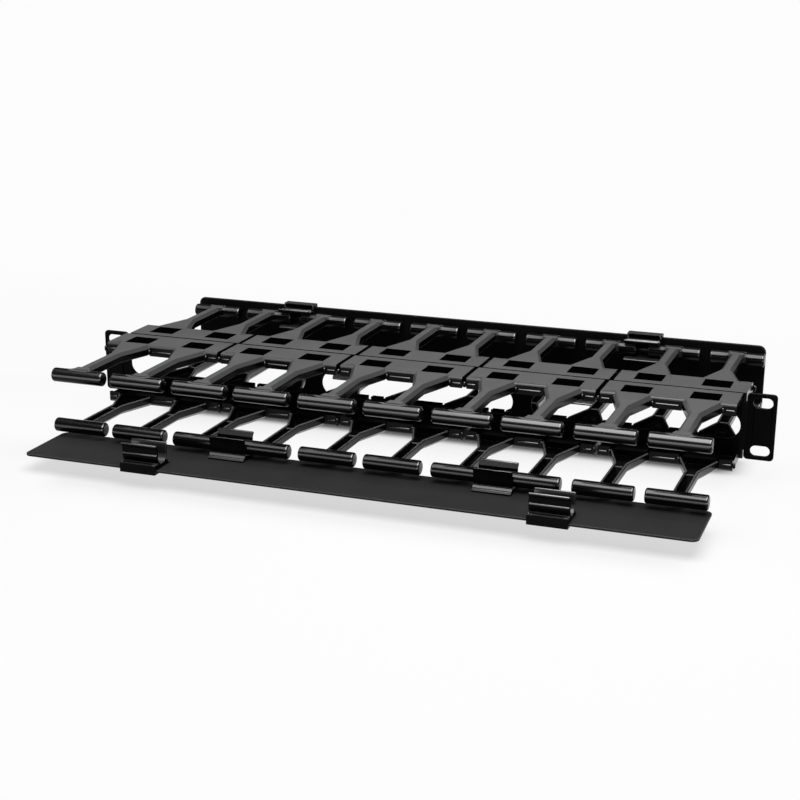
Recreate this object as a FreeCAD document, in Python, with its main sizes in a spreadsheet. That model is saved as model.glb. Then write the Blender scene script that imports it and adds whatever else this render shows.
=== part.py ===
# Horizontal cable manager, 1U, 19 inch, double sided.
# A steel panel with rack ears carries twenty moulded finger plates, two rows in
# front and two behind. Each side has a cover on four clips, which grip the round
# bars at the finger tips: the front cover is swung open, the rear one is shut.
# X runs along the rack, -Y is the front and +Z is up. The origin is the centre of
# the ear slots, on the face of the ears that meets the rack.
import FreeCAD, Part
import Sketcher
import math
import os
import re

doc = FreeCAD.newDocument("CableManager")
sheet = doc.addObject("Spreadsheet::Sheet", "sizes")

driving = {
    # steel panel
    "rackWidth": 482.6, "earHeight": 44.0, "earCorner": 2.5, "sheet": 2.0, "earOffset": 2.0,
    "bendInset": 21.85, "bendAt": "=rackWidth / 2 - bendInset", "bendRound": 1.0,
    "earStep": 2.95, "earInner": "=bendAt + earStep", "slotLength": 12.4, "slotWidth": 6.8,
    "slotInset": 8.75, "slotSpacing": "=rackWidth - 2 * slotInset",
    "slotDrop": 6.125, "slotRise": "=earHeight - 2 * slotDrop",
    "passMargin": 30.8, "passPitch": "=(rackWidth - passMargin) / 3",
    "passBridge": 12.6, "passLength": "=passPitch - passBridge", "passHeight": 17.5,
    # finger plates
    "moduleCount": 5, "sideMargin": 37.6, "moduleGap": 3.0, "rowShift": 1.0,
    "modulePitch": "=(rackWidth - sideMargin) / moduleCount",
    "fingerInset": 0.43, "fingerPitch": "=modulePitch / 2 - fingerInset",
    "stackHeight": 44.0, "skirt": 6.0, "webHeight": "=stackHeight - 2 * skirt",
    "wall": 1.8, "backDrop": 12.0, "backInset": 3.2,
    "rimReach": 29.0, "rimRound": 2.0, "rimDrop": 1.5, "flareWidth": 25.4,
    "armStart": 55.0, "armWidth": 8.8, "flank": 2.1, "fishtail": 4.3, "footGap": 0.15,
    "windowStart": 7.9, "windowLength": 17.3, "windowWidth": 18.4, "boxWall": 1.2,
    "barReach": 103.75, "barRadius": 4.7, "barRise": 0.1,
    "barPitch": "=min(fingerPitch; modulePitch - fingerPitch)",
    "barGap": 6.47, "barLength": "=barPitch - barGap",
    "hookShift": 8.0, "hookWidth": 10.0, "hookRise": 2.0, "hookLip": 0.6, "hookGap": 0.1,
    "hookCatch": 0.7, "reliefWidth": 16.0,
    # covers
    "coverInset": 1.65, "coverOverhang": 3.8, "coverSheet": 1.5, "coverCorner": 5.0,
    "coverClear": 1.25, "coverGap": "=barRadius + jawGap + jawWall + coverClear",
    # clips
    "clipSpare": 1.67, "clipWidth": "=barPitch - armWidth - 2 * fishtail - clipSpare",
    "jawGap": 0.35, "jawWall": 1.5, "jawNeck": 5.2, "jawTop": 8.0,
    "jawLow": 6.6, "jawLean": 0.4, "jawFlare": 1.7,
    "clampWall": 1.3, "clampEnd": 2.2, "clampLeg": 10.4, "clampRise": 3.6,
    "footLength": 10.0, "footWall": 1.4, "pocketInset": 1.5,
    "pocketLength": "=clipWidth - 2 * pocketInset", "pocketWidth": 2.0, "pocketDepth": 2.3,
}
for row, alias in enumerate(driving, 1):
    sheet.set("A%d" % row, alias)
    sheet.setAlias("B%d" % row, alias)
for row, value in enumerate(driving.values(), 1):
    sheet.set("B%d" % row, str(value))
doc.recompute()

moduleCount = driving["moduleCount"]

# formulas that several pieces share
webMid = "(-earOffset - sheet / 2)"
top = "(stackHeight / 2)"
arm = "(armWidth / 2)"
finger = "(fingerPitch / 2)"
plateSide = "((modulePitch - moduleGap) / 2)"
barHeight = "(stackHeight / 2 + barRise - barRadius)"
under = "(stackHeight / 2 - skirt)"
footStart = "(barReach - flank - footGap)"
footSide = "(armWidth / 2 + fishtail)"
clampReach = "(coverOverhang + barRadius - barRise)"
jaw = "(barRadius + jawGap)"
jawOut = "(barRadius + jawGap + jawWall)"


def bind(formula):
    """Put the sheet's name in front of each alias."""
    return re.sub(r"\b[A-Za-z]+\b(?!\()", lambda alias: "sizes." + alias.group(), formula)


def newBody(name):
    body = doc.addObject("PartDesign::Body", name)
    body.Label = name
    return body


def newSketch(body, role, across="0", up="0", out="0"):
    """A sketch on an origin plane, shifted along the plane's own axes."""
    sketch = body.newObject("Sketcher::SketchObject", body.Name + "_" + role[:2])
    plane = [feature for feature in body.Origin.OriginFeatures if feature.Role == role][0]
    sketch.AttachmentSupport = [(plane, "")]
    sketch.MapMode = "FlatFace"
    for axis, formula in (("x", across), ("y", up), ("z", out)):
        sketch.setExpression("AttachmentOffset.Base." + axis, bind(formula))
    return sketch


def hold(sketch, geometry, point, corner):
    """Hold a point of the sketch at a pair of formulas."""
    seed = sketch.getPoint(geometry, point)
    for kind, seedValue, formula in zip(("DistanceX", "DistanceY"), seed, corner):
        fixed = Sketcher.Constraint(kind, -1, 1, geometry, point, seedValue)
        index = sketch.addConstraint(fixed)
        sketch.setExpression("Constraints[%d]" % index, bind(formula))


def outline(sketch, corners):
    """A closed line through corners that are pairs of formulas."""
    count = len(corners)
    first = sketch.GeometryCount
    seeds = []
    for index in range(count):
        turn = 2 * math.pi * index / count
        seeds.append(FreeCAD.Vector(50 * math.cos(turn), 50 * math.sin(turn), 0))
    for index in range(count):
        sketch.addGeometry(Part.LineSegment(seeds[index], seeds[(index + 1) % count]))
    for index in range(count):
        after = first + (index + 1) % count
        sketch.addConstraint(Sketcher.Constraint("Coincident", first + index, 2, after, 1))
    for index, corner in enumerate(corners):
        hold(sketch, first + index, 1, corner)


def rectangle(sketch, left, right, low, high):
    outline(sketch, [(left, low), (right, low), (right, high), (left, high)])


def circle(sketch, across, up, radius):
    seed = Part.Circle(FreeCAD.Vector(30, 30, 0), FreeCAD.Vector(0, 0, 1), 5)
    index = sketch.addGeometry(seed)
    hold(sketch, index, 3, (across, up))
    rule = sketch.addConstraint(Sketcher.Constraint("Radius", index, 5))
    sketch.setExpression("Constraints[%d]" % rule, bind(radius))


def slot(sketch, across, up, length, width):
    """An obround with its long side across."""
    first = sketch.GeometryCount
    upright = FreeCAD.Vector(0, 0, 1)
    quarter = math.pi / 2
    leftEnd = Part.Circle(FreeCAD.Vector(-20, 0, 0), upright, 5)
    rightEnd = Part.Circle(FreeCAD.Vector(20, 0, 0), upright, 5)
    sketch.addGeometry(Part.ArcOfCircle(leftEnd, quarter, 3 * quarter))
    sketch.addGeometry(Part.ArcOfCircle(rightEnd, -quarter, quarter))
    for side, (arcs, ends) in enumerate((((0, 1), (1, 2)), ((0, 1), (2, 1)))):
        height = 5 - 10 * side
        line = Part.LineSegment(FreeCAD.Vector(-20, height, 0), FreeCAD.Vector(20, height, 0))
        index = sketch.addGeometry(line)
        for arc, end, lineEnd in zip(arcs, ends, (1, 2)):
            touch = Sketcher.Constraint("Tangent", first + arc, end, index, lineEnd)
            sketch.addConstraint(touch)
    for arc, side in ((0, "-"), (1, "+")):
        centre = "%s %s (%s - %s) / 2" % (across, side, length, width)
        hold(sketch, first + arc, 3, (centre, up))
        rule = sketch.addConstraint(Sketcher.Constraint("Radius", first + arc, 5))
        sketch.setExpression("Constraints[%d]" % rule, bind(width + " / 2"))


def addFeature(kind, sketch, length, reverse=False, middle=False):
    """A Pad or Pocket of the given length from a sketch."""
    body = sketch.getParentGeoFeatureGroup()
    feature = body.newObject("PartDesign::" + kind, body.Name + "_" + kind)
    feature.Profile = sketch
    feature.setExpression("Length", bind(length))
    feature.Reversed = reverse
    feature.Midplane = middle
    return feature


def cutThrough(sketch):
    """A Pocket that goes right through, both ways from the sketch."""
    body = sketch.getParentGeoFeatureGroup()
    pocket = body.newObject("PartDesign::Pocket", body.Name + "_Cut")
    pocket.Profile = sketch
    pocket.Type = "ThroughAll"
    pocket.Midplane = True
    return pocket


def dress(kind, body, picked, sizeName, formula):
    """A Fillet or Chamfer on the edges whose middle point passes the test."""
    doc.recompute()
    base = body.Tip
    names = []
    for number, edge in enumerate(base.Shape.Edges, 1):
        middle = edge.valueAt((edge.FirstParameter + edge.LastParameter) / 2)
        if picked(edge, middle):
            names.append("Edge%d" % number)
    feature = body.newObject("PartDesign::" + kind, body.Name + "_" + kind)
    feature.Base = (base, names)
    feature.setExpression(sizeName, bind(formula))
    return feature


def near(one, other):
    return abs(one - other) < 0.01


def number(formula):
    """The present value of a formula, for picking edges."""
    return float(sheet.evalExpression(bind(formula)))


def alongAxis(edge, axis):
    """True for a straight edge that runs along X, Y or Z."""
    if edge.Curve.TypeId != "Part::GeomLine":
        return False
    run = edge.Vertexes[-1].Point - edge.Vertexes[0].Point
    return near(abs(getattr(run, axis)), run.Length)


def makePanel(name):
    """Bent steel sheet: a low web with three pass-throughs and two rack ears."""
    body = newBody(name)
    plan = newSketch(body, "XY_Plane")
    mitre = "sheet * tan(22.5)"
    rear = [("rackWidth / 2", "0"), ("bendAt + earOffset", "0"), ("bendAt", "-earOffset")]
    front = [(across + (" + " + mitre if index else ""), along + " - sheet")
             for index, (across, along) in enumerate(rear)]
    right = rear[::-1] + front
    left = [("-(%s)" % across, along) for across, along in right[::-1]]
    outline(plan, right + left)
    addFeature("Pad", plan, "earHeight", middle=True)
    bend = number("bendAt")
    inner = number("earInner")
    dress("Fillet", body, lambda edge, at: alongAxis(edge, "z") and abs(at.x) < inner + 1
          and abs(at.x) > bend - 1, "Radius", "bendRound")
    notch = newSketch(body, "XZ_Plane")
    rectangle(notch, "-earInner", "earInner", "webHeight / 2", "earHeight")
    rectangle(notch, "-earInner", "earInner", "-earHeight", "-webHeight / 2")
    cutThrough(notch)
    dress("Fillet", body, lambda edge, at: alongAxis(edge, "y")
          and near(abs(at.z), number("earHeight / 2")), "Radius",
          "min(earCorner; (earHeight - webHeight) / 3)")
    holes = newSketch(body, "XZ_Plane")
    for side in (-1, 1):
        for rise in (-1, 1):
            slot(holes, "%d * slotSpacing / 2" % side, "%d * slotRise / 2" % rise,
                 "slotLength", "slotWidth")
    for place in (-1, 0, 1):
        slot(holes, "%d * passPitch" % place, "0", "passLength", "passHeight")
    cutThrough(holes)
    return body


def makePlate(name):
    """A moulded plate with two fingers, each ending in a round cross bar.
    It is drawn as a front upper plate, with its back on the web."""
    body = newBody(name)
    plan = newSketch(body, "XY_Plane", out=top)
    fingerEdge = [("flareWidth / 2", "-rimReach"), (arm, "-armStart"),
                  (arm, "fishtail - " + footStart), (footSide, "-" + footStart),
                  (footSide, "-barReach")]
    twoFingers(plan, plateSide, "-sheet / 2", "-rimReach", fingerEdge)
    addFeature("Pad", plan, "skirt", reverse=True)
    roundPlate(body)
    hollow = newSketch(body, "XY_Plane", out=under)
    fingerEdge = [("flareWidth / 2 - wall", "wall - rimReach"), (arm + " - wall", "-armStart"),
                  (arm + " - wall", "barRadius - barReach")]
    twoFingers(hollow, plateSide + " - wall", "-sheet / 2 - wall", "wall - rimReach", fingerEdge)
    twoWindows(hollow, "boxWall")
    addFeature("Pocket", hollow, "skirt - wall", reverse=True)
    windows = newSketch(body, "XY_Plane", out=top)
    twoWindows(windows, "0")
    addFeature("Pocket", windows, "skirt - boxWall")
    addRims(body)
    addBack(body)
    addBars(body)
    return body


def twoFingers(sketch, side, back, rim, fingerEdge):
    """The plan of a plate: its base and two fingers, from one finger's half widths."""
    right = [(side, back), (side, rim)]
    right += [("%s + %s" % (finger, half), along) for half, along in fingerEdge]
    right += [("%s - (%s)" % (finger, half), along) for half, along in fingerEdge[::-1]]
    left = [("-(%s)" % across, along) for across, along in right[::-1]]
    outline(sketch, right + left)


def twoWindows(sketch, around):
    """The outline of each finger's boxed window, with a wall around it."""
    for side in (-1, 1):
        centre = "%d * %s" % (side, finger)
        half = "(windowWidth / 2 + %s)" % around
        rectangle(sketch, "%s - %s" % (centre, half), "%s + %s" % (centre, half),
                  "-windowStart - windowLength - " + around, around + " - windowStart")


def roundPlate(body):
    """Bevels along the fingers and round rims between them."""
    topHeight = number(top)
    footAlong = number("-" + footStart)
    rimAlong = number("-rimReach")

    def onFinger(edge, at):
        return near(at.z, topHeight) and footAlong < at.y < rimAlong - 1

    def onRim(edge, at):
        return near(at.z, topHeight) and near(at.y, rimAlong)

    dress("Chamfer", body, onFinger, "Size", "flank")
    dress("Fillet", body, onRim, "Radius", "rimRound")


def addRims(body):
    """A deeper lip under each straight stretch of the rim."""
    rims = newSketch(body, "XY_Plane", out=under)
    inner = "(%s - flareWidth / 2)" % finger
    outer = "(%s + flareWidth / 2)" % finger
    for low, high in (("-" + inner, inner), (outer, plateSide), ("-" + plateSide, "-" + outer)):
        rectangle(rims, low, high, "-rimReach", "wall - rimReach")
    addFeature("Pad", rims, "rimDrop", reverse=True)


def addBack(body):
    """A flange that lies on the web, with a hook over the web's edge. A relief
    beside it lets in the hook of the plate behind."""
    back = newSketch(body, "XZ_Plane", out="sheet / 2")
    flangeSide = plateSide + " - backInset"
    rectangle(back, "-(%s)" % flangeSide, flangeSide, top + " - backDrop", top + " - wall")
    addFeature("Pad", back, "wall")
    relief = newSketch(body, "XZ_Plane", out="sheet / 2")
    rectangle(relief, "-hookShift - reliefWidth / 2", "reliefWidth / 2 - hookShift",
              "webHeight / 2 - 2 * hookCatch", "webHeight / 2 + hookRise + hookCatch")
    addFeature("Pocket", relief, "2 * wall", reverse=True)
    over = "webHeight / 2 + hookGap"
    behind = "sheet / 2 + hookGap"
    tip = "webHeight / 2 - hookCatch"
    hook = newSketch(body, "YZ_Plane", out="hookShift")
    outline(hook, [("-sheet / 2 - wall", over), (behind, over), (behind, tip),
                   (behind + " + hookLip", tip), (behind + " + hookLip", over + " + hookRise"),
                   ("-sheet / 2 - wall", over + " + hookRise")])
    addFeature("Pad", hook, "hookWidth", middle=True)


def addBars(body):
    """The round bar across the tip of each finger."""
    bars = newSketch(body, "XZ_Plane", up=barHeight, out="barReach")
    for side in (-1, 1):
        centre = "%d * %s" % (side, finger)
        left = centre + " - barLength / 2"
        right = centre + " + barLength / 2"
        rectangle(bars, left, right, "0", "barRadius")
    revolution = body.newObject("PartDesign::Revolution", body.Name + "_Bars")
    revolution.Profile = bars
    revolution.ReferenceAxis = (bars, ["H_Axis"])
    revolution.Angle = 360


def makeClip(name):
    """A moulded clip that clamps the cover's edge and snaps onto two bar ends.
    It is drawn as a latch clip of the shut front cover, around the bar's axis."""
    body = newBody(name)
    ring = newSketch(body, "YZ_Plane")
    circle(ring, "0", "0", jawOut)
    addFeature("Pad", ring, "clipWidth", middle=True)
    clamp = newSketch(body, "YZ_Plane")
    bottom = "-coverGap - coverSheet - clampWall"
    shoulder = "clampRise - coverGap"
    instep = "footWall - coverGap"
    outline(clamp, [(bottom, clampReach + " - clampLeg"), (bottom, clampReach + " + clampEnd"),
                    (shoulder, clampReach + " + clampEnd"), (shoulder, "-" + jawOut),
                    (shoulder + " - footWall", "-%s - footWall" % jawOut),
                    (instep, "-%s - footWall" % jawOut), (instep, "-footLength"),
                    ("-coverGap", "-footLength"), ("-coverGap", clampReach),
                    ("-coverGap - coverSheet", clampReach),
                    ("-coverGap - coverSheet", clampReach + " - clampLeg")])
    addFeature("Pad", clamp, "clipWidth", middle=True)
    mouth = newSketch(body, "YZ_Plane")
    rectangle(mouth, "0", "2 * " + jawOut, "-2 * " + jawOut, "2 * " + jawOut)
    cutThrough(mouth)
    bore = newSketch(body, "YZ_Plane")
    circle(bore, "0", "0", jaw)
    cutThrough(bore)
    jaws = newSketch(body, "YZ_Plane")
    outline(jaws, [("0", jaw), ("jawNeck", jaw + " - jawLean"),
                   ("jawTop", jaw + " - jawLean + jawFlare"), ("jawTop", jawOut + " + jawFlare"),
                   ("jawTop - jawWall / 2", jawOut + " + jawFlare"), ("jawNeck", jawOut),
                   ("0", jawOut)])
    outline(jaws, [("0", "-" + jaw), ("jawNeck", "-%s - jawLean" % jaw),
                   ("jawLow", "-%s - jawLean - jawWall / 2" % jaw),
                   ("jawLow", "-%s - jawWall / 2" % jawOut), ("jawNeck - jawWall", "-" + jawOut),
                   ("0", "-" + jawOut)])
    addFeature("Pad", jaws, "clipWidth", middle=True)
    pocket = newSketch(body, "XZ_Plane", out="coverGap - clampRise",
                       up="(%s + %s + clampEnd) / 2" % (jaw, clampReach))
    rectangle(pocket, "-pocketLength / 2", "pocketLength / 2", "-pocketWidth / 2", "pocketWidth / 2")
    addFeature("Pocket", pocket, "pocketDepth", reverse=True)
    return body


def makeCover(name):
    """Flat steel cover with round corners, drawn shut in front of the hinge axis."""
    body = newBody(name)
    face = newSketch(body, "XZ_Plane", out="coverGap")
    half = "(moduleCount * modulePitch - moduleGap) / 2 - coverInset"
    rectangle(face, "-(%s)" % half, half, "-" + clampReach, "2 * %s + %s" % (barHeight, clampReach))
    addFeature("Pad", face, "coverSheet")
    dress("Fillet", body, lambda edge, at: alongAxis(edge, "y"), "Radius", "coverCorner")
    return body


def copyBody(master, name):
    """Another of the same moulding."""
    body = newBody(name)
    same = body.newObject("PartDesign::FeatureBase", name + "_Same")
    same.BaseFeature = master
    body.Tip = same
    return body


def place(body, across, along, up, turn):
    body.Placement = FreeCAD.Placement(FreeCAD.Vector(0, 0, 0), turn)
    for axis, formula in (("x", across), ("y", along), ("z", up)):
        body.setExpression("Placement.Base." + axis, bind(formula))


def turned(axis, angle):
    return FreeCAD.Rotation(FreeCAD.Vector(*axis), angle)


# each row: its name, its turn from the front upper plate, and the way it is shifted
rows = (
    ("front_upper_fingers", turned((1, 0, 0), 0), "-"),
    ("front_lower_fingers", turned((0, 1, 0), 180), "-"),
    ("rear_upper_fingers", turned((0, 0, 1), 180), "+"),
    ("rear_lower_fingers", turned((1, 0, 0), 180), "+"),
)

nodes = [makePanel("rack_panel")]

plates = []
for rowName, turn, shift in rows:
    for module in range(moduleCount):
        name = "%s_%d" % (rowName, module + 1)
        plate = copyBody(plates[0], name) if plates else makePlate(name)
        across = "%g * modulePitch %s rowShift" % (module - (moduleCount - 1) / 2, shift)
        place(plate, across, webMid, "0", turn)
        plates.append(plate)
nodes += plates

# each cover: its side, its turn from shut in front, its row's shift, its way out
# from the web, and how far the latch clips lie from the hinge, along and up
latchAway = "2 * " + barHeight
sides = (
    ("front", turned((1, 0, 0), 90), "-", "-", latchAway, "0"),
    ("rear", turned((0, 0, 1), 180), "+", "+", "0", latchAway),
)
covers = []
clips = []
for side, turn, shift, out, latchOut, latchUp in sides:
    coverName = side + "_cover"
    cover = copyBody(covers[0], coverName) if covers else makeCover(coverName)
    hinge = "%s %s barReach" % (webMid, out)
    place(cover, "0", hinge, "-" + barHeight, turn)
    covers.append(cover)
    for kind, modules, ahead, up, flip in (
            ("hinge", 1.0, "0", "0", 180), ("latch", 1.5, latchOut, latchUp, 0)):
        for hand, step in (("left", -modules), ("right", modules)):
            name = "%s_%s_clip_%s" % (coverName, kind, hand)
            clip = copyBody(clips[0], name) if clips else makeClip(name)
            place(clip, "%g * modulePitch %s rowShift" % (step, shift),
                  "%s %s %s" % (hinge, out, ahead), "%s - %s" % (up, barHeight),
                  turn.multiply(turned((0, 1, 0), flip)))
            clips.append(clip)
nodes += covers + clips

doc.recompute()
for item in doc.Objects:
    if "Invalid" in item.State or "Error" in item.State:
        raise RuntimeError("%s did not build: %s" % (item.Name, item.State))
for node in nodes:
    if node.Shape.isNull() or not node.Shape.isValid() or len(node.Shape.Solids) != 1:
        raise RuntimeError("%s is not one valid solid" % node.Label)

os.makedirs("parts", exist_ok=True)
for node in nodes:
    node.Shape.exportStep(os.path.join("parts", node.Label + ".step"))
print(len(nodes), "parts")
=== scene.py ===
import bpy, math
from mathutils import Vector, Matrix


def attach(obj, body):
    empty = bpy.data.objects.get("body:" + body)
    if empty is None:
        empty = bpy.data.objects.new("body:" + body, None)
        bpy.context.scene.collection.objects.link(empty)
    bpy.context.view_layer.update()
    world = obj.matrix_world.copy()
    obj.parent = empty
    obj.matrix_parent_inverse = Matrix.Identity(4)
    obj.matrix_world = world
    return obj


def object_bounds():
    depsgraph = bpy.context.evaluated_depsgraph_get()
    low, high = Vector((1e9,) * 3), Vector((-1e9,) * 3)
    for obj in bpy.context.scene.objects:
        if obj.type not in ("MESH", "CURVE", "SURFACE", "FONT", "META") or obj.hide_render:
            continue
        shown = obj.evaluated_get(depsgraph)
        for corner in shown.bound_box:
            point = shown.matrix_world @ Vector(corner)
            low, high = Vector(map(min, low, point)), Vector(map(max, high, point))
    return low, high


# double sided cable manager for a 19 inch rack: black steel panel, moulded
# finger plates and two clip-on covers, the front one swung open
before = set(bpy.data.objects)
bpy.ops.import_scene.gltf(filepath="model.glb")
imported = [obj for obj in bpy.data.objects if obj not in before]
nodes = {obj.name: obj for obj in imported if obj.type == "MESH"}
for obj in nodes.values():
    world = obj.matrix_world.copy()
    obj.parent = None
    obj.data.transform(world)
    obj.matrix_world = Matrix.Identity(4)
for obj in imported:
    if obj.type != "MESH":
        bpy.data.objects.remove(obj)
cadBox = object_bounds()
print("frame loaded,", len(nodes), "parts")


# small helpers for node trees
def addNode(tree, kind, place=(0, 0), **values):
    node = tree.nodes.new(kind)
    node.location = place
    for name, value in values.items():
        setattr(node, name, value)
    return node


# a number, a colour or another node's output into an input socket
def feed(tree, node, socket, value):
    if isinstance(value, bpy.types.NodeSocket):
        tree.links.new(value, node.inputs[socket])
    else:
        node.inputs[socket].default_value = value


def mathNode(tree, kind, first, second=0.0, place=(0, 0), clamp=False):
    node = addNode(tree, "ShaderNodeMath", place, operation=kind, use_clamp=clamp)
    feed(tree, node, 0, first)
    feed(tree, node, 1, second)
    return node.outputs[0]


def rangeNode(tree, value, low, high, toLow=0.0, toHigh=1.0, place=(0, 0)):
    node = addNode(tree, "ShaderNodeMapRange", place)
    feed(tree, node, "Value", value)
    ends = {"From Min": low, "From Max": high, "To Min": toLow, "To Max": toHigh}
    for name, number in ends.items():
        node.inputs[name].default_value = number
    return node.outputs["Result"]


def noiseNode(tree, where, scale, detail, rough=0.5, place=(0, 0)):
    node = addNode(tree, "ShaderNodeTexNoise", place)
    feed(tree, node, "Vector", where)
    feed(tree, node, "Scale", scale)
    node.inputs["Detail"].default_value = detail
    node.inputs["Roughness"].default_value = rough
    return node.outputs["Fac"]


def newGroup(name, inputs, outputs):
    tree = bpy.data.node_groups.new(name, "ShaderNodeTree")
    for label, start in inputs.items():
        socket = tree.interface.new_socket(label, in_out="INPUT", socket_type="NodeSocketFloat")
        socket.default_value = start
    for label in outputs:
        tree.interface.new_socket(label, in_out="OUTPUT", socket_type="NodeSocketFloat")
    given = addNode(tree, "NodeGroupInput", (-900, 0))
    return tree, given, addNode(tree, "NodeGroupOutput", (900, 0))


# fine grain of a textured mould or a powder coat, with a slow drift in tone
grainMix = {"size": 0.0004, "drift": 0.03, "pitScale": 0.55, "fine": 0.6, "pits": 0.4,
            "low": 0.3, "high": 0.7, "fineDetail": 3.0, "driftDetail": 4.0}


def makeSurfaceGrain():
    tree, given, out = newGroup("surfaceGrain", {
        "Grain Size": grainMix["size"], "Drift Size": grainMix["drift"]},
        ["Height", "Speckle", "Drift"])
    low, high = grainMix["low"], grainMix["high"]
    where = addNode(tree, "ShaderNodeTexCoord", (-900, 300)).outputs["Object"]
    perMetre = mathNode(tree, "DIVIDE", 1.0, given.outputs["Grain Size"], (-700, 0))
    fine = noiseNode(tree, where, perMetre, grainMix["fineDetail"], place=(-500, 200))
    pits = addNode(tree, "ShaderNodeTexVoronoi", (-500, -100), feature="SMOOTH_F1")
    feed(tree, pits, "Vector", where)
    feed(tree, pits, "Scale",
         mathNode(tree, "MULTIPLY", perMetre, grainMix["pitScale"], (-650, -150)))
    driftScale = mathNode(tree, "DIVIDE", 1.0, given.outputs["Drift Size"], (-700, -400))
    slow = noiseNode(tree, where, driftScale, grainMix["driftDetail"], place=(-500, -400))
    finePart = mathNode(tree, "MULTIPLY", fine, grainMix["fine"], (-250, 200))
    pitPart = mathNode(tree, "MULTIPLY", pits.outputs["Distance"], grainMix["pits"], (-250, -50))
    both = mathNode(tree, "ADD", finePart, pitPart, (-50, 100))
    join = tree.links.new
    join(both, out.inputs["Height"])
    join(rangeNode(tree, both, low, high, place=(200, 0)), out.inputs["Speckle"])
    join(rangeNode(tree, slow, low, high, place=(200, -300)), out.inputs["Drift"])
    return tree


# 1 along outer edges, where handling polishes and lightens them; the lighter edge colour is also a
# painted highlight on the rounded edges
rubGlintMix = {"width": 0.0006, "patchy": 0.4, "flat": 0.99, "sharp": 0.82, "patchScale": 160.0,
          "patchDetail": 3.0, "patchRough": 0.6, "patchLow": 0.35, "patchHigh": 0.65}


def makeEdgeRubGlint():
    tree, given, out = newGroup("edgeRubGlint", {
        "Width": rubGlintMix["width"], "Patchy": rubGlintMix["patchy"]}, ["Edge"])
    soft = addNode(tree, "ShaderNodeBevel", (-600, 100), samples=4)
    feed(tree, soft, "Radius", given.outputs["Width"])
    face = addNode(tree, "ShaderNodeNewGeometry", (-600, -100))
    bend = addNode(tree, "ShaderNodeVectorMath", (-350, 0), operation="DOT_PRODUCT")
    feed(tree, bend, 0, soft.outputs["Normal"])
    feed(tree, bend, 1, face.outputs["True Normal"])
    edge = rangeNode(tree, bend.outputs["Value"], rubGlintMix["flat"], rubGlintMix["sharp"],
                     place=(-100, 0))
    where = addNode(tree, "ShaderNodeTexCoord", (-600, -350)).outputs["Object"]
    spots = noiseNode(tree, where, rubGlintMix["patchScale"], rubGlintMix["patchDetail"],
                      rubGlintMix["patchRough"], (-350, -350))
    patches = rangeNode(tree, spots, rubGlintMix["patchLow"], rubGlintMix["patchHigh"], place=(-100, -350))
    bare = mathNode(tree, "MULTIPLY", patches, given.outputs["Patchy"], (150, -300))
    keep = mathNode(tree, "SUBTRACT", 1.0, bare, (350, -250))
    tree.links.new(mathNode(tree, "MULTIPLY", edge, keep, (600, 0), True), out.inputs["Edge"])
    return tree


# finger plates: Grained is 1 on their outer level and slanted faces, Slanted on
# the slanted ones alone, Bars on the bars; walls and the hollow sides are none
plateParts = {"Level Height": 0.0216, "Slant Height": 0.0195, "Reach": 0.1012,
              "Middle": -0.003, "Lower Row Shade": 0.6}
plateLimits = {"level": 0.97, "slant": 0.2, "rowBlend": 0.01}


def makePlateRegions():
    tree, given, out = newGroup("plateRegions", plateParts, ["Grained", "Slanted", "Bars"])
    face = addNode(tree, "ShaderNodeNewGeometry", (-800, 300))
    tilt = addNode(tree, "ShaderNodeSeparateXYZ", (-600, 300))
    feed(tree, tilt, 0, face.outputs["True Normal"])
    where = addNode(tree, "ShaderNodeTexCoord", (-800, -200))
    place = addNode(tree, "ShaderNodeSeparateXYZ", (-600, -200))
    feed(tree, place, 0, where.outputs["Object"])
    slope = mathNode(tree, "ABSOLUTE", tilt.outputs["Z"], 0.0, (-400, 300))
    height = mathNode(tree, "ABSOLUTE", place.outputs["Z"], 0.0, (-400, 0))
    flat = mathNode(tree, "GREATER_THAN", slope, plateLimits["level"], (-200, 300))
    high = mathNode(tree, "GREATER_THAN", height, given.outputs["Level Height"], (-200, 100))
    level = mathNode(tree, "MULTIPLY", flat, high, (0, 200))
    leaning = mathNode(tree, "GREATER_THAN", slope, plateLimits["slant"], (-200, 600))
    high = mathNode(tree, "GREATER_THAN", height, given.outputs["Slant Height"], (-200, 450))
    slanted = mathNode(tree, "MULTIPLY", leaning, high, (0, 500))
    uneven = mathNode(tree, "LESS_THAN", slope, plateLimits["level"], (0, 650))
    slanted = mathNode(tree, "MULTIPLY", slanted, uneven, (150, 550))
    level = mathNode(tree, "MAXIMUM", level, slanted, (300, 300))
    away = mathNode(tree, "SUBTRACT", place.outputs["Y"], given.outputs["Middle"], (-400, -300))
    away = mathNode(tree, "ABSOLUTE", away, 0.0, (-200, -300))
    short = mathNode(tree, "LESS_THAN", away, given.outputs["Reach"], (0, -300))
    onBar = mathNode(tree, "SUBTRACT", 1.0, short, (500, -300))
    # the bars of the lower rows get less coat: painted shade that dims their highlight
    upper = rangeNode(tree, place.outputs["Z"], -plateLimits["rowBlend"],
                      plateLimits["rowBlend"], place=(0, -500))
    lower = mathNode(tree, "SUBTRACT", 1.0, upper, (150, -600))
    lower = mathNode(tree, "MULTIPLY", given.outputs["Lower Row Shade"], lower, (300, -600))
    share = mathNode(tree, "ADD", upper, lower, (450, -500))
    join = tree.links.new
    join(mathNode(tree, "MULTIPLY", level, short, (500, 0)), out.inputs["Grained"])
    join(mathNode(tree, "MULTIPLY", slanted, short, (500, 300)), out.inputs["Slanted"])
    join(mathNode(tree, "MULTIPLY", onBar, share, (700, -300)), out.inputs["Bars"])
    return tree
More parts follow.
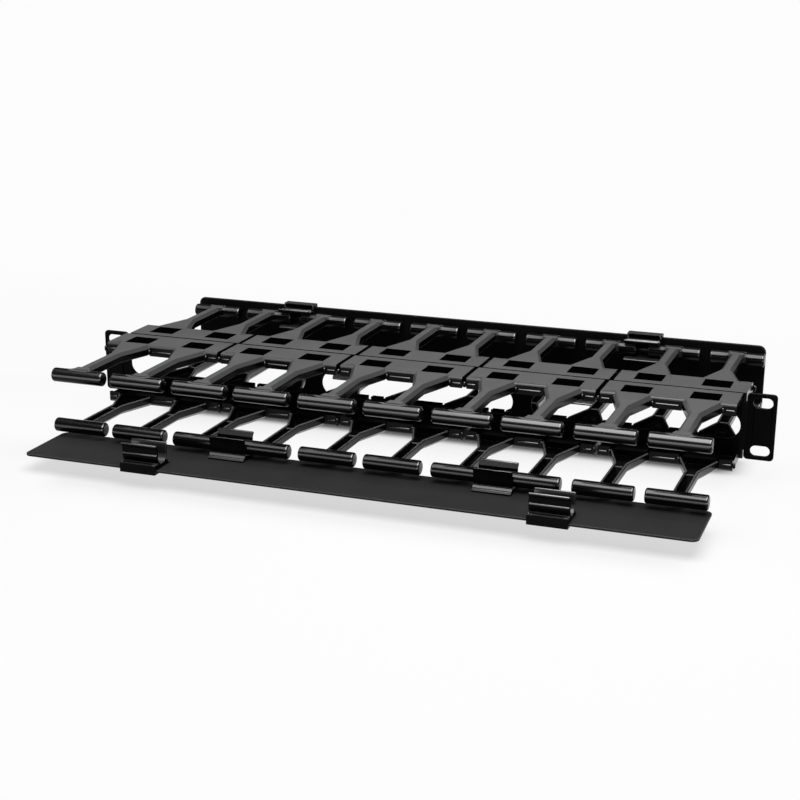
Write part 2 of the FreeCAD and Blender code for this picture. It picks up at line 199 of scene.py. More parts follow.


# 1 on faces that look up in the world, towards the lamps above: the coat put only there is a
# painted sheen
def makeBuffed():
    tree, given, out = newGroup("lampFacing", {"Start": 0.0, "End": 0.22}, ["Buffed"])
    face = addNode(tree, "ShaderNodeNewGeometry", (-600, 100))
    tilt = addNode(tree, "ShaderNodeSeparateXYZ", (-400, 100))
    feed(tree, tilt, 0, face.outputs["Normal"])
    rise = addNode(tree, "ShaderNodeMapRange", (0, 0), interpolation_type="SMOOTHSTEP")
    feed(tree, rise, "Value", tilt.outputs["Z"])
    feed(tree, rise, "From Min", given.outputs["Start"])
    feed(tree, rise, "From Max", given.outputs["End"])
    tree.links.new(rise.outputs["Result"], out.inputs["Buffed"])
    return tree


surfaceGrain = makeSurfaceGrain()
edgeRubGlint = makeEdgeRubGlint()
plateRegions = makePlateRegions()
lampFacing = makeBuffed()
print("shared node groups made")


def placeGroup(tree, group, place, values):
    node = addNode(tree, "ShaderNodeGroup", place, node_tree=group)
    for name, value in values.items():
        node.inputs[name].default_value = value
    return node


def mixColour(tree, mask, dark, light, place):
    node = addNode(tree, "ShaderNodeMix", place, data_type="RGBA")
    feed(tree, node, 0, mask)
    feed(tree, node, 6, dark)
    feed(tree, node, 7, light)
    return node.outputs[2]


def mixNumber(tree, mask, low, high, place):
    node = addNode(tree, "ShaderNodeMix", place, data_type="FLOAT")
    feed(tree, node, 0, mask)
    feed(tree, node, 2, low)
    feed(tree, node, 3, high)
    return node.outputs[0]


# grain, grainDepth and the rubbed edges' width are in metres; a look with no glossIor has no coat
fingerPlastic = {
    "dark": (0.0012, 0.0012, 0.0014, 1), "light": (0.003, 0.003, 0.0032, 1),
    "edge": (0.012, 0.012, 0.0125, 1), "rough": 0.17, "ior": 1.22,
    "grain": 0.00045, "grainDepth": 0.00004, "speckle": 0.12, "rubGlint": 0.0006,
    "glossIor": 1.85, "glossRough": 0.19, "facingRange": (-0.1, 0.03),
    "mattDark": (0.116, 0.116, 0.118, 1), "mattLight": (0.14, 0.14, 0.142, 1), "mattRough": 0.5,
    "slantColour": (0.078, 0.078, 0.08, 1), "slantRough": 0.34, "slantGloss": 0.35}
fingerMatt = {
    "dark": (0.108, 0.108, 0.11, 1), "light": (0.132, 0.132, 0.134, 1),
    "edge": (0.14, 0.14, 0.142, 1), "rough": 0.5, "ior": 1.42,
    "grain": 0.00045, "grainDepth": 0.00004, "speckle": 0.12, "rubGlint": 0.0003}
fingerTrim = {
    "dark": (0.0012, 0.0012, 0.0014, 1), "light": (0.003, 0.003, 0.0032, 1),
    "edge": (0.02, 0.02, 0.021, 1), "rough": 0.2, "ior": 1.2,
    "grain": 0.0006, "grainDepth": 0.00001, "speckle": 0.12, "rubGlint": 0.0003,
    "glossIor": 2.3, "glossRough": 0.2}
clipPlastic = {
    "dark": (0.0015, 0.0015, 0.0018, 1), "light": (0.004, 0.004, 0.0043, 1),
    "edge": (0.02, 0.02, 0.021, 1), "rough": 0.22, "ior": 1.12,
    "grain": 0.0006, "grainDepth": 0.000008, "speckle": 0.12, "rubGlint": 0.0005,
    "glossIor": 1.6, "glossRough": 0.22, "topLight": (0.05, 0.05, 0.051, 1)}
clipRibs = {
    "dark": (0.003, 0.003, 0.0033, 1), "light": (0.006, 0.006, 0.0063, 1),
    "edge": (0.03, 0.03, 0.031, 1), "rough": 0.22, "ior": 1.2,
    "grain": 0.0006, "grainDepth": 0.000006, "speckle": 0.12, "rubGlint": 0.0003,
    "glossIor": 2.7, "glossRough": 0.22}
# painted shade: the colour of the sheets over the clip slots
slotShade = {
    "dark": (0.0006, 0.0006, 0.0007, 1), "light": (0.0014, 0.0014, 0.0015, 1),
    "edge": (0.004, 0.004, 0.0042, 1), "rough": 0.5, "ior": 1.05,
    "grain": 0.0006, "grainDepth": 0.00001, "speckle": 0.12, "rubGlint": 0.0002}
# the cover's lighter colour on faces turned up is painted top light; its pale edges with a wide rub
# are partly a painted highlight
coverCoat = {
    "dark": (0.003, 0.003, 0.0033, 1), "light": (0.006, 0.006, 0.0063, 1),
    "edge": (0.14, 0.14, 0.142, 1), "rough": 0.45, "ior": 1.1,
    "grain": 0.0006, "grainDepth": 0.00007, "speckle": 0.015, "rubGlint": 0.0018,
    "glossIor": 1.32, "glossRough": 0.45, "topLight": (0.029, 0.029, 0.0295, 1)}
panelCoat = {
    "dark": (0.0015, 0.0015, 0.0018, 1), "light": (0.004, 0.004, 0.0043, 1),
    "edge": (0.03, 0.03, 0.031, 1), "rough": 0.45, "ior": 1.1,
    "grain": 0.0008, "grainDepth": 0.00004, "speckle": 0.05, "rubGlint": 0.0008,
    "glossIor": 1.3, "glossRough": 0.45}
# what all the looks share
sharedWearAndLight = {"smoother": 0.02, "rougher": 0.05, "relief": 0.35, "plateRelief": 0.15,
        "mattRelief": 1.0, "bump": 0.7, "edgeShare": 0.6, "leastTopLight": 0.8}


# black moulding or coat: grain, slow drift of tone, rubbed edges partly painted as highlights,
# painted sheen and top light on faces turned up to the lamps
def blackFinish(name, look):
    material = bpy.data.materials.new(name)
    material.use_nodes = True
    tree = material.node_tree
    shader = tree.nodes["Principled BSDF"]
    grain = placeGroup(tree, surfaceGrain, (-1200, 200), {"Grain Size": look["grain"]})
    drift = grain.outputs["Drift"]
    rubGlint = placeGroup(tree, edgeRubGlint, (-1200, -100), {"Width": look["rubGlint"]})
    colour = mixColour(tree, drift, look["dark"], look["light"], (-900, 300))
    rough = rangeNode(tree, drift, 0, 1, look["rough"] - sharedWearAndLight["smoother"],
                      look["rough"] + sharedWearAndLight["rougher"], (-900, -200))
    relief = sharedWearAndLight["relief"]
    # faces turned up to the lamps: they get the coat, a painted sheen, and in some looks a painted
    # top light
    if "glossIor" in look:
        start, end = look.get("facingRange", (0.0, 0.22))
        up = placeGroup(tree, lampFacing, (-1200, -700), {"Start": start, "End": end})
        gloss = up.outputs["Buffed"]
    # painted top light: faces turned up to the lamps are lightened towards this colour, patchy with
    # the drift
    if "topLight" in look:
        patchy = rangeNode(tree, drift, 0, 1, sharedWearAndLight["leastTopLight"], 1.0, (-1000, 600))
        litFromAbove = mathNode(tree, "MULTIPLY", gloss, patchy, (-800, 600))
        colour = mixColour(tree, litFromAbove, colour, look["topLight"], (-700, 450))
    if "mattRough" in look:
        regions = placeGroup(tree, plateRegions, (-1200, -350), {})
        matt, slanted = regions.outputs["Grained"], regions.outputs["Slanted"]
        mattColour = mixColour(tree, drift, look["mattDark"], look["mattLight"], (-900, 550))
        colour = mixColour(tree, matt, colour, mattColour, (-700, 400))
        colour = mixColour(tree, slanted, colour, look["slantColour"], (-550, 400))
        rough = mixNumber(tree, matt, rough, look["mattRough"], (-700, -250))
        rough = mixNumber(tree, slanted, rough, look["slantRough"], (-550, -250))
        relief = mixNumber(tree, matt, sharedWearAndLight["plateRelief"], sharedWearAndLight["mattRelief"], (-700, -500))
        onSlants = mathNode(tree, "MULTIPLY", slanted, look["slantGloss"], (-900, -900))
        onBars = mathNode(tree, "MULTIPLY", gloss, regions.outputs["Bars"], (-700, -700))
        gloss = mathNode(tree, "MAXIMUM", onSlants, onBars, (-500, -800))
    speckle = mathNode(tree, "MULTIPLY", grain.outputs["Speckle"], look["speckle"], (-700, 100))
    speckled = mixColour(tree, speckle, colour, look["edge"], (-500, 250))
    # rubbed edges: partly wear, partly a painted highlight on the rounded edges
    rubbedAndGlinting = mathNode(tree, "MULTIPLY", rubGlint.outputs["Edge"], sharedWearAndLight["edgeShare"], (-500, 0))
    feed(tree, shader, "Base Color", mixColour(tree, rubbedAndGlinting, speckled, look["edge"], (-300, 250)))
    feed(tree, shader, "Roughness", rough)
    shader.inputs["IOR"].default_value = look["ior"]
    bump = addNode(tree, "ShaderNodeBump", (-250, -350))
    bump.inputs["Strength"].default_value = sharedWearAndLight["bump"]
    bump.inputs["Distance"].default_value = look["grainDepth"]
    feed(tree, bump, "Height",
         mathNode(tree, "MULTIPLY", grain.outputs["Height"], relief, (-450, -500)))
    feed(tree, shader, "Normal", bump.outputs["Normal"])
    # painted sheen: the coat goes on faces turned up to the lamps; the plates' slanted faces get a
    # fixed share of it too
    if "glossIor" in look:
        feed(tree, shader, "Coat Weight", gloss)
        shader.inputs["Coat IOR"].default_value = look["glossIor"]
        shader.inputs["Coat Roughness"].default_value = look["glossRough"]
    return material


materials = {
    "finger_plastic": blackFinish("fingerPlastic", fingerPlastic),
    "clip_plastic": blackFinish("clipPlastic", clipPlastic),
    "cover_steel": blackFinish("coverCoat", coverCoat),
    "panel_steel": blackFinish("panelCoat", panelCoat),
}
mattPlastic = blackFinish("fingerMatt", fingerMatt)
trimPlastic = blackFinish("fingerTrim", fingerTrim)
ribPlastic = blackFinish("clipRibs", clipRibs)
slotShadePlastic = blackFinish("slotShade", slotShade)
print("materials made")


# the round bars at the fingers' tips, in mm: five modules of two fingers in a row,
# each row shifted a little to its own side of the middle
bars = {"pitch": 89.0, "finger": 22.035, "half": 18.8, "shift": 1, "middle": -3.0,
        "reach": 103.75, "radius": 4.7, "height": 17.4, "dome": 1.2}
skinReach = {"end": 0.3, "radius": 1.05}    # what counts as the rim of a bar's end


# shades a part smooth, and on the plates draws in the rims of the bar ends, where
# the domed caps below go on
def makeSkin():
    size = {name: value / 1000 for name, value in bars.items()}
    tree = bpy.data.node_groups.new("smoothSkin", "GeometryNodeTree")
    tree.interface.new_socket("Geometry", in_out="INPUT", socket_type="NodeSocketGeometry")
    domed = tree.interface.new_socket("Domed", in_out="INPUT", socket_type="NodeSocketFloat")
    domed.default_value = 0.0
    tree.interface.new_socket("Geometry", in_out="OUTPUT", socket_type="NodeSocketGeometry")
    given = addNode(tree, "NodeGroupInput", (-1600, 200))
    smooth = addNode(tree, "GeometryNodeSetShadeSmooth", (-1200, 200))
    place = addNode(tree, "ShaderNodeSeparateXYZ", (-1600, -400))
    feed(tree, place, 0, addNode(tree, "GeometryNodeInputPosition", (-1800, -400)).outputs[0])
    across, along, up = place.outputs
    away = mathNode(tree, "SUBTRACT", along, size["middle"], (-1400, -300))
    side = mathNode(tree, "SIGN", away, 0, (-1400, -600))
    shift = mathNode(tree, "MULTIPLY", side, size["shift"], (-1200, -600))
    shifted = mathNode(tree, "SUBTRACT", across, shift, (-1000, -500))
    wrap = addNode(tree, "ShaderNodeMath", (-800, -500), operation="WRAP")
    feed(tree, wrap, 0, shifted)
    wrap.inputs[1].default_value = size["pitch"] / 2
    wrap.inputs[2].default_value = -size["pitch"] / 2
    inModule = wrap.outputs[0]
    which = mathNode(tree, "SIGN", inModule, 0, (-600, -700))
    finger = mathNode(tree, "MULTIPLY", which, size["finger"], (-400, -700))
    fromFinger = mathNode(tree, "SUBTRACT", inModule, finger, (-200, -600))
    atEnd = mathNode(tree, "GREATER_THAN",
                     mathNode(tree, "ABSOLUTE", fromFinger, 0, (0, -600)),
                     size["half"] - skinReach["end"] / 1000, (200, -600))
    alongBar = mathNode(tree, "SUBTRACT", mathNode(tree, "ABSOLUTE", away, 0, (-1200, -300)),
                        size["reach"], (-1000, -300))
    upBar = mathNode(tree, "SUBTRACT", mathNode(tree, "ABSOLUTE", up, 0, (-1200, -900)),
                     size["height"], (-1000, -900))
    square = mathNode(tree, "ADD",
                      mathNode(tree, "MULTIPLY", alongBar, alongBar, (-800, -300)),
                      mathNode(tree, "MULTIPLY", upBar, upBar, (-800, -900)), (-600, -900))
    onRim = mathNode(tree, "LESS_THAN", square, (size["radius"] * skinReach["radius"]) ** 2,
                     (-400, -900))
    picked = mathNode(tree, "MULTIPLY", atEnd, onRim, (400, -700))
    amount = mathNode(tree, "MULTIPLY", picked, given.outputs["Domed"], (600, -600))
    amount = mathNode(tree, "MULTIPLY", amount, -size["dome"], (800, -600))
    inward = mathNode(tree, "MULTIPLY", mathNode(tree, "SIGN", fromFinger, 0, (400, -400)),
                      amount, (1000, -400))
    offset = addNode(tree, "ShaderNodeCombineXYZ", (1200, -300))
    feed(tree, offset, 0, inward)
    move = addNode(tree, "GeometryNodeSetPosition", (1400, 100))
    out = addNode(tree, "NodeGroupOutput", (1600, 100))
    tree.links.new(given.outputs["Geometry"], smooth.inputs["Geometry"])
    tree.links.new(smooth.outputs["Geometry"], move.inputs["Geometry"])
    tree.links.new(offset.outputs[0], move.inputs["Offset"])
    tree.links.new(move.outputs["Geometry"], out.inputs[0])
    return tree


smoothSkin = makeSkin()
# how wide each slot's edges are rounded, in metres, and whether its bar ends are domed
edgeRounds = {"finger_plastic": (0.00012, 1.0), "clip_plastic": (0.0004, 0.0),
              "cover_steel": (0.0004, 0.0), "panel_steel": (0.00035, 0.0)}
softEdge = {"join": 0.00001, "segments": 2, "sharpest": 34}


# rounds a part's sharp edges with modifiers alone
def roundEdges(part, width, domed):
    part.modifiers.new("joined", "WELD").merge_threshold = softEdge["join"]
    skin = part.modifiers.new("smoothSkin", "NODES")
    skin.node_group = smoothSkin
    skin["Socket_1"] = domed
    bevel = part.modifiers.new("softEdges", "BEVEL")
    bevel.width = width
    bevel.segments = softEdge["segments"]
    bevel.limit_method = "ANGLE"
    bevel.angle_limit = math.radians(softEdge["sharpest"])
    bevel.use_clamp_overlap = False
    bevel.face_strength_mode = "FSTR_AFFECTED"
    weighted = part.modifiers.new("evenShade", "WEIGHTED_NORMAL")
    weighted.keep_sharp = False
    weighted.use_face_influence = True


for part in nodes.values():
    slotName = part.material_slots[0].material.name
    part.material_slots[0].material = materials[slotName]
    roundEdges(part, *edgeRounds[slotName])
print("finishes and round edges on the frame's parts")


# small mouldings that the frame leaves out, one mesh for each row or cover; all
# their sizes are in mm, each turned and put in its place as it is added
class Shapes:
    def __init__(self, turn, place):
        self.turn, self.place = turn, place
        self.points, self.faces = [], []

    def add(self, points, faces):
        first = len(self.points)
        spot = Vector(self.place)
        self.points += [(self.turn @ Vector(point) + spot) / 1000 for point in points]
        self.faces += [[first + corner for corner in face] for face in faces]


# the side faces between rings of points, one ring after another
def ringFaces(count, sides):
    faces = []
    for ring in range(count - 1):
        for side in range(sides):
            after = (side + 1) % sides
            faces.append([ring * sides + side, ring * sides + after,
                          (ring + 1) * sides + after, (ring + 1) * sides + side])
    return faces


rodEnd = (25, 50, 70, 90)    # the angles of a rod's domed end


# a rod with domed ends
def addRod(shapes, start, end, radius, sides=12):
    start, end = Vector(start), Vector(end)
    along = (end - start).normalized()
    aside = along.orthogonal().normalized()
    other = along.cross(aside)
    points, rings = [], []
    steps = [math.radians(angle) for angle in rodEnd]
    for at, way in ((start, 1), (end, -1)):
        for bend in steps[::way]:
            middle = at + along * way * radius * (1 - math.cos(bend))
            rings.append((middle, radius * math.sin(bend)))
    for middle, size in rings:
        for side in range(sides):
            turn = 2 * math.pi * side / sides
            points.append(middle + aside * math.cos(turn) * size + other * math.sin(turn) * size)
    faces = ringFaces(len(rings), sides)
    faces.append(list(range(sides))[::-1])
    faces.append([(len(rings) - 1) * sides + side for side in range(sides)])
    shapes.add(points, faces)


# a closed sheet under a grid of points, its lower side drop mm down
def addSheet(shapes, grid, drop):
    wide, deep = len(grid[0]), len(grid)
    upper = [point for row in grid for point in row]
    lower = [(x, y, z - drop) for x, y, z in upper]
    size = len(upper)
    faces = []
    for row in range(deep - 1):
        for place in range(wide - 1):
            corner = row * wide + place
            quad = [corner, corner + 1, corner + wide + 1, corner + wide]
            faces += [quad, [size + number for number in quad[::-1]]]
    rim = (list(range(wide)) + [row * wide + wide - 1 for row in range(1, deep)] +
           [(deep - 1) * wide + place for place in range(wide - 2, -1, -1)] +
           [row * wide for row in range(deep - 2, 0, -1)])
    for here, after in zip(rim, rim[1:] + rim[:1]):
        faces.append([after, here, size + here, size + after])
    shapes.add(upper + lower, faces)


def joinFaces(shapes):
    faces, first = [], 0
    for part in shapes:
        faces += [[first + corner for corner in face] for face in part.faces]
        first += len(part.points)
    return faces


creaseAngle = 40    # edges sharper than this stay crisp, in degrees


def finishPiece(name, shapes, body, material):
    mesh = bpy.data.meshes.new(name)
    points = [point for part in shapes for point in part.points]
    mesh.from_pydata(points, [], joinFaces(shapes))
    mesh.polygons.foreach_set("use_smooth", [True] * len(mesh.polygons))
    mesh.set_sharp_from_angle(angle=math.radians(creaseAngle))
    mesh.materials.append(material)
    piece = bpy.data.objects.new(name, mesh)
    bpy.context.scene.collection.objects.link(piece)
    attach(piece, body)


# the rounded end of a bar, on the side that way gives
domes = {"root": 1.25, "angles": (0, 22, 45, 68, 90), "sides": 28}


def addDome(shapes, finger, way):
    sides = domes["sides"]
    points, rings = [], [(domes["root"], 0.0)]
    rings += [(1 - math.sin(math.radians(angle)), 1 - math.cos(math.radians(angle)))
              for angle in domes["angles"]]
    for back, inward in rings:
        x = finger + way * (bars["half"] - bars["dome"] * back)
        size = bars["radius"] - bars["dome"] * inward
        for side in range(sides):
            turn = 2 * math.pi * side / sides
            points.append((x, size * math.cos(turn) - bars["reach"],
                           bars["height"] + size * math.sin(turn)))
    faces = ringFaces(len(rings), sides)
    faces.append([(len(rings) - 1) * sides + side for side in range(sides)])
    faces.append(list(range(sides))[::-1])
    shapes.add(points, faces if way > 0 else [face[::-1] for face in faces])


# where the arm runs into its bar: its grained top spreads over the bar's crown
fans = {"arm": 4.4, "frontSide": 9.4, "rearSide": 6.4, "inner": 2.0, "start": 96.2,
        "startSweep": 1.2, "curve": 5.0, "end": 105.6, "endSweep": 2.2, "radius": 4.77,
        "level": 22.07, "drop": 1.3, "rows": 10, "crownHalf": 4.0,
        "across": (-1, -0.88, -0.74, -0.58, -0.42, -0.26, -0.12, 0)}


def addFan(shapes, finger, side):
    spread = side - fans["arm"]
    across = [-fans["arm"] + part * spread for part in fans["across"]] + [-fans["inner"]]
    across += [-x for x in across[::-1]]
    steps = fans["rows"] - 1
    grid = []
    for row in range(fans["rows"]):
        line = []
        for x in across:
            out = min(max((abs(x) - fans["arm"]) / spread, 0), 1)
            reach = max(fans["curve"] - (abs(x) - fans["arm"]), 0)
            bend = math.sqrt(max(fans["curve"] ** 2 - reach ** 2, 0))
            start = fans["start"] + bend + fans["startSweep"] * out ** 4
            end = fans["end"] - fans["endSweep"] * out ** 2
            y = start + (end - start) * row / steps
            away = max(min(y - bars["reach"], fans["crownHalf"]), -fans["crownHalf"])
            crown = bars["height"] + math.sqrt(fans["radius"] ** 2 - away ** 2)
            if y > bars["reach"]:
                z = crown
            else:
                hug = out * out * (3 - 2 * out)
                z = (1 - hug) * fans["level"] + hug * crown
            line.append((x + finger, -y, z))
        grid.append(line)
    addSheet(shapes, grid, fans["drop"])


# beads on the hollow side's walls and a small rib across each finger, in the grey matt finish: a
# painted highlight along them
beads = {"wall": 0.9, "low": 15.8, "radius": 0.6, "sides": 10, "flare": 12.7, "start": 29.8,
         "armStart": 55.0, "armEnd": 98.0, "rib": 59.0, "ribHalf": 3.2, "ribHeight": 17.0}


def addBeads(shapes, finger):
    for side in (-1, 1):
        near = finger + side * (fans["arm"] - beads["wall"])
        far = finger + side * (beads["flare"] - beads["wall"])
        line = [(far, -beads["start"], beads["low"]), (near, -beads["armStart"], beads["low"]),
                (near, -beads["armEnd"], beads["low"])]
        for start, end in zip(line, line[1:]):
            addRod(shapes, start, end, beads["radius"], beads["sides"])
    left, right = finger - beads["ribHalf"], finger + beads["ribHalf"]
    addRod(shapes, (left, -beads["rib"], beads["ribHeight"]),
           (right, -beads["rib"], beads["ribHeight"]), beads["radius"], beads["sides"])


# under each straight stretch of rim: a ledge and a small round peg
ledges = {"spans": ((-7.6, 7.6), (36.4, 42.4), (-42.4, -36.4)), "along": 29.3, "height": 17.6,
          "radius": 0.75, "peg": 0.95, "pegAside": 1.6, "pegOut": 0.3, "pegLow": 15.4,
          "pegHigh": 19.4}


def addLedges(shapes):
    for start, end in ledges["spans"]:
        addRod(shapes, (start, -ledges["along"], ledges["height"]),
               (end, -ledges["along"], ledges["height"]), ledges["radius"])
        across, along = start - ledges["pegAside"], -ledges["along"] - ledges["pegOut"]
        addRod(shapes, (across, along, ledges["pegLow"]), (across, along, ledges["pegHigh"]),
               ledges["peg"])


# each row: its turn from the front upper one, the way it is shifted, its fans' width
rows = {"frontUpper": (Matrix.Identity(3), -1, "frontSide"),
        "frontLower": (Matrix.Rotation(math.pi, 3, "Y"), -1, "frontSide"),
        "rearUpper": (Matrix.Rotation(math.pi, 3, "Z"), 1, "rearSide"),
        "rearLower": (Matrix.Rotation(math.pi, 3, "X"), 1, "rearSide")}
for rowName, (turn, way, width) in rows.items():
    tops, trims = [], []
    for module in range(-2, 3):
        spot = (module * bars["pitch"] + way * bars["shift"], bars["middle"], 0)
        top, trim = Shapes(turn, spot), Shapes(turn, spot)
        for finger in (-bars["finger"], bars["finger"]):
            addFan(top, finger, fans[width])
            addBeads(top, finger)
            addDome(trim, finger, -1)
            addDome(trim, finger, 1)
        addLedges(trim)
        tops.append(top)
        trims.append(trim)
    # the beads go in the fans' grey matt finish: the light lines they draw are a painted highlight
    finishPiece(rowName + "Fans", tops, "frame", mattPlastic)
    finishPiece(rowName + "Trim", trims, "frame", trimPlastic)


# ribs and lips of a clip, in the clip's own place around the bar's axis
clipTrim = {"half": 12.4, "ribs": ((7.6, 7.6, 0.8), (1.0, 6.5, 0.9), (6.2, -6.6, 0.55)),
            "roofRib": (-9.6, -5.6, 10.18, 0.4), "face": -4.2, "slotHalf": 10.9,
            "slotEnd": 1.1, "slotLow": 6.5, "slotHigh": 10.1, "lip": 0.42, "lipOut": 0.1,
            "sides": 8, "inset": 0.2, "shadeOut": 0.07, "shadeIn": 0.5}


# the slot's outline, which comes to a point at both ends
def slotOutline(inset):
    side = clipTrim["slotHalf"]
    low, high = clipTrim["slotLow"] + inset, clipTrim["slotHigh"] - inset
    middle, tip = (low + high) / 2, side + clipTrim["slotEnd"] - inset
    return [(-side, low), (side, low), (tip, middle), (side, high), (-side, high),
            (-tip, middle)]


def addClipTrim(shapes):
    half = clipTrim["half"]
    for y, z, radius in clipTrim["ribs"]:
        addRod(shapes, (-half, y, z), (half, y, z), radius)
    lipAt = clipTrim["face"] + clipTrim["lipOut"]
    rim = slotOutline(0.0)
    for (x, z), (nextX, nextZ) in zip(rim, rim[1:] + rim[:1]):
        addRod(shapes, (x, lipAt, z), (nextX, lipAt, nextZ), clipTrim["lip"], clipTrim["sides"])
    start, end, z, radius = clipTrim["roofRib"]
    addRod(shapes, (0, start, z), (0, end, z), radius, clipTrim["sides"])


# a near-black sheet over the slot inside that rim, darker and duller than the clip: painted shade
# for the inside of the slot
def addSlotShade(shapes):
    outline = slotOutline(clipTrim["inset"])
    outer = clipTrim["face"] + clipTrim["shadeOut"]
    inner = clipTrim["face"] - clipTrim["shadeIn"]
    points = [(x, outer, z) for x, z in outline] + [(x, inner, z) for x, z in outline]
    count = len(outline)
    faces = [list(range(count))[::-1], list(range(count, 2 * count))]
    faces += [[here, (here + 1) % count, count + (here + 1) % count, count + here]
              for here in range(count)]
    shapes.add(points, faces)


# each cover: its turn from shut in front, its row's shift, and where the bars lie
# that its hinge clips and its latch clips hold, along and up
clipReach = {"hinge": bars["pitch"], "latch": 1.5 * bars["pitch"]}
frontBar = bars["middle"] - bars["reach"]
rearBar = bars["middle"] + bars["reach"]
covers = {"front": (Matrix.Rotation(math.pi / 2, 3, "X"), -1, (frontBar, -bars["height"]),
                    (frontBar - 2 * bars["height"], -bars["height"])),
          "rear": (Matrix.Rotation(math.pi, 3, "Z"), 1, (rearBar, -bars["height"]),
                   (rearBar, bars["height"]))}
flip = Matrix.Rotation(math.pi, 3, "Y")    # a hinge clip is a latch clip turned over
for side, (turn, way, hinge, latch) in covers.items():
    ribs, slotShades = [], []
    for step in (-1, 1):
        for kind, spot, clipTurn in (("hinge", hinge, turn @ flip), ("latch", latch, turn)):
            place = (step * clipReach[kind] + way * bars["shift"], *spot)
            rib, slotShadeShapes = Shapes(clipTurn, place), Shapes(clipTurn, place)
            addClipTrim(rib)
            addSlotShade(slotShadeShapes)
            ribs.append(rib)
            slotShades.append(slotShadeShapes)
    finishPiece(side + "ClipRibs", ribs, side + "_cover", ribPlastic)
    # the near-black sheets over the slots are painted shade
    finishPiece(side + "ClipSlotShade", slotShades, side + "_cover", slotShadePlastic)
print("fans, beads, ledges and clip ribs")


# studio: white floor, pale surround, two softboxes above, a thin strip in front
studio = {"floorDrop": 0.0098, "floorSize": 160.0, "floorWhite": (0.9, 0.9, 0.9, 1),
          "floorGrey": (0.3, 0.3, 0.3, 1), "floorOwn": (0.975, 0.975, 0.975, 1),
          "ownFrom": 0.3, "ownTo": 0.7, "sky": 0.05, "horizonLow": 0.06, "horizonHigh": 0.11}
# how much of the floor is its own even white: all of it far away
floorGlow = [(-0.875, 1.0), (-0.3, 0.85), (-0.16, 0.72), (-0.128, 0.69), (-0.09, 0.85),
             (-0.055, 0.97), (0.0, 0.93), (0.04, 0.9), (0.07, 0.96), (0.145, 0.96), (0.425, 1.0)]
# painted shadows: soft grey streaks in the floor's own colour and glow, along the front edge and
# under the panel
paintedFloorShadow = [(-0.2, 1.0), (-0.18, 0.99), (-0.168, 0.957), (-0.155, 0.91), (-0.145, 0.94),
              (-0.132, 0.98), (-0.11, 1.0), (-0.01, 0.98), (0.002, 0.92), (0.008, 0.68),
              (0.014, 0.25), (0.021, 0.07), (0.034, 0.1), (0.045, 0.8), (0.06, 1.0)]
# where the painted shadows fade out at the sides
paintedShadowEnds = [(-0.3, 0.0), (-0.21, 0.0), (-0.18, 1.0), (0.195, 1.0), (0.23, 0.0), (0.3, 0.0)]
softboxes = {
    "overheadSoftbox": {"size": (1.42, 1.15), "place": (-0.01, -0.38, 1.0),
                        "aim": (-0.01, -0.38, 0.0), "power": 9.5},
    "overheadRight": {"size": (1.0, 1.1), "place": (0.26, -0.3, 1.02),
                      "aim": (0.26, -0.3, 0.0), "power": 8.0},
    "frontStrip": {"size": (2.2, 0.24), "place": (0.0, -1.6, 0.16),
                   "aim": (0.0, 0.0, 0.05), "power": 2.4}}
view = {"focal": 1594.961, "middle": (378.591, 433.170), "frame": 800, "sensor": 36.0, "near": 0.05,
        "place": (0.343127, -0.995263, 0.299117), "turn": (1.267252, -0.003002, 0.357929)}


# a curve through (value, result) pairs
def lineOf(tree, value, spots, place):
    low, high = spots[0][0], spots[-1][0]
    curve = addNode(tree, "ShaderNodeFloatCurve", (place[0] + 200, place[1]))
    feed(tree, curve, "Value", rangeNode(tree, value, low, high, place=place))
    line = curve.mapping.curves[0]
    for spot, amount in spots[1:-1]:
        line.points.new((spot - low) / (high - low), amount)
    line.points[0].location = (0, spots[0][1])
    line.points[-1].location = (1, spots[-1][1])
    curve.mapping.update()
    return curve.outputs[0]


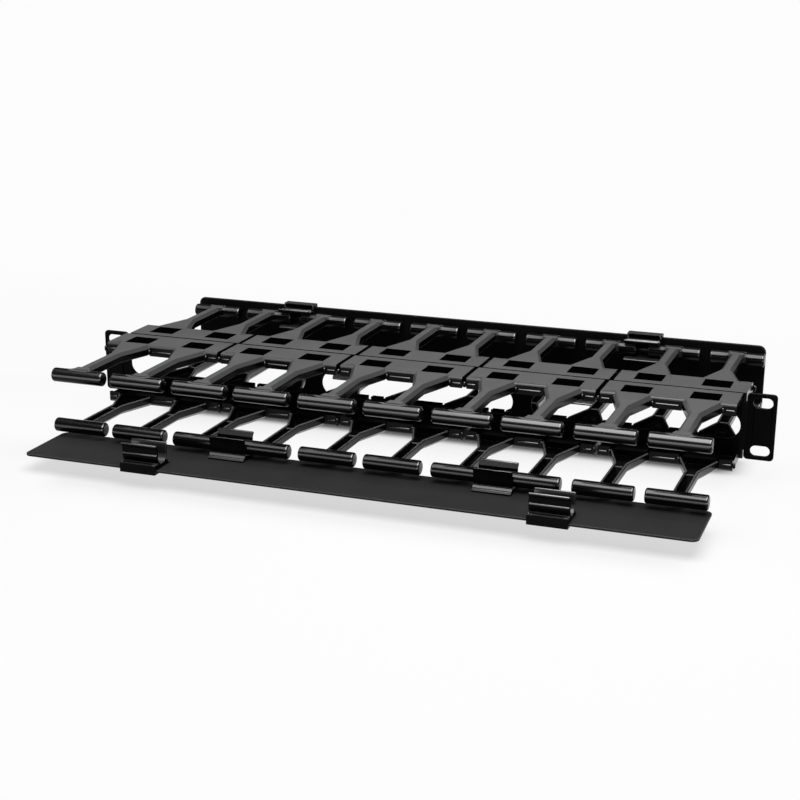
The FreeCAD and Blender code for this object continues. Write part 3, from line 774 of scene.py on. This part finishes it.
def makeFloor():
    half = studio["floorSize"] / 2
    mesh = bpy.data.meshes.new("floor")
    mesh.from_pydata([(-half, -half, 0), (half, -half, 0), (half, half, 0), (-half, half, 0)], [],
                     [(0, 1, 2, 3)])
    floor = bpy.data.objects.new("floor", mesh)
    # low enough for the front cover, which opens past level
    floor.location.z = cadBox[0].z - studio["floorDrop"]
    bpy.context.scene.collection.objects.link(floor)
    paper = bpy.data.materials.new("floorPaper")
    paper.use_nodes = True
    tree = paper.node_tree
    tree.nodes.remove(tree.nodes["Principled BSDF"])
    out = tree.nodes["Material Output"]
    seen = addNode(tree, "ShaderNodeLightPath", (-1300, 200))
    either = mathNode(tree, "MAXIMUM", seen.outputs["Is Camera Ray"],
                      seen.outputs["Is Glossy Ray"], (-1100, 200))
    either = mathNode(tree, "MAXIMUM", either, seen.outputs["Is Transmission Ray"], (-900, 200))
    matt = addNode(tree, "ShaderNodeBsdfDiffuse", (-300, 100))
    paperTone = mixColour(tree, either, studio["floorGrey"], studio["floorWhite"], (-700, 100))
    glow = addNode(tree, "ShaderNodeEmission", (-300, -100))
    where = addNode(tree, "ShaderNodeTexCoord", (-1500, -300)).outputs["Object"]
    parts = addNode(tree, "ShaderNodeSeparateXYZ", (-1300, -300))
    feed(tree, parts, 0, where)
    wide = mathNode(tree, "ABSOLUTE", parts.outputs["X"], 0, (-1100, -600))
    glowing = mathNode(tree, "MAXIMUM",
                       lineOf(tree, parts.outputs["Y"], floorGlow, (-1100, -300)),
                       rangeNode(tree, wide, studio["ownFrom"], studio["ownTo"],
                                 place=(-900, -600)), (-600, -400))
    # painted shadow: these streaks darken both the floor's glow and its colour
    alongShadow = lineOf(tree, parts.outputs["Y"], paintedFloorShadow, (-1100, -900))
    acrossShadow = lineOf(tree, parts.outputs["X"], paintedShadowEnds, (-1100, -1200))
    paintedShadow = mixNumber(tree, acrossShadow, 1.0, alongShadow, (-600, -900))
    feed(tree, glow, "Color", studio["floorOwn"])
    feed(tree, glow, "Strength", paintedShadow)
    feed(tree, matt, "Color", mixColour(tree, paintedShadow, (0, 0, 0, 1), paperTone, (-450, 100)))
    mix = addNode(tree, "ShaderNodeMixShader", (0, 100))
    feed(tree, mix, 0, mathNode(tree, "MULTIPLY", either, glowing, (-200, 300)))
    tree.links.new(matt.outputs[0], mix.inputs[1])
    tree.links.new(glow.outputs[0], mix.inputs[2])
    tree.links.new(mix.outputs[0], out.inputs["Surface"])
    mesh.materials.append(paper)


# white to the camera, and near the horizon in gloss too; dim above
def makeSurround():
    world = bpy.data.worlds.new("surround")
    world.use_nodes = True
    bpy.context.scene.world = world
    tree = world.node_tree
    sky = tree.nodes["Background"]
    sky.inputs["Color"].default_value = (1, 1, 1, 1)
    seen = addNode(tree, "ShaderNodeLightPath", (-900, 300))
    way = addNode(tree, "ShaderNodeSeparateXYZ", (-900, -200))
    feed(tree, way, 0, addNode(tree, "ShaderNodeTexCoord", (-1100, -200)).outputs["Generated"])
    low = rangeNode(tree, way.outputs["Z"], studio["horizonHigh"], studio["horizonLow"],
                    place=(-700, -200))
    mirrored = mathNode(tree, "MAXIMUM", seen.outputs["Is Glossy Ray"],
                        seen.outputs["Is Transmission Ray"], (-700, 200))
    mirrored = mathNode(tree, "MULTIPLY", mirrored, low, (-500, 0))
    white = mathNode(tree, "MAXIMUM", seen.outputs["Is Camera Ray"], mirrored, (-300, 200))
    feed(tree, sky, "Strength", rangeNode(tree, white, 0, 1, studio["sky"], 1.0, (-150, 0)))


def addSoftbox(name, box):
    lamp = bpy.data.lights.new(name, "AREA")
    lamp.shape = "RECTANGLE"
    lamp.size, lamp.size_y = box["size"]
    lamp.energy = box["power"]
    holder = bpy.data.objects.new(name, lamp)
    bpy.context.scene.collection.objects.link(holder)
    holder.location = box["place"]
    look = Vector(box["aim"]) - Vector(box["place"])
    holder.rotation_euler = look.to_track_quat("-Z", "Y").to_euler()


def makeCamera():
    camera = bpy.data.cameras.new("camera")
    camera.sensor_width = view["sensor"]
    camera.lens = view["focal"] / view["frame"] * view["sensor"]
    across, down = view["middle"]
    camera.shift_x = (view["frame"] / 2 - across) / view["frame"]
    camera.shift_y = (down - view["frame"] / 2) / view["frame"]
    camera.clip_start = view["near"]
    holder = bpy.data.objects.new("camera", camera)
    bpy.context.scene.collection.objects.link(holder)
    holder.location = view["place"]
    holder.rotation_euler = view["turn"]
    bpy.context.scene.camera = holder


makeFloor()
makeSurround()
for name, box in softboxes.items():
    addSoftbox(name, box)
makeCamera()
bpy.context.scene.view_settings.view_transform = "Standard"
print("studio and camera set")
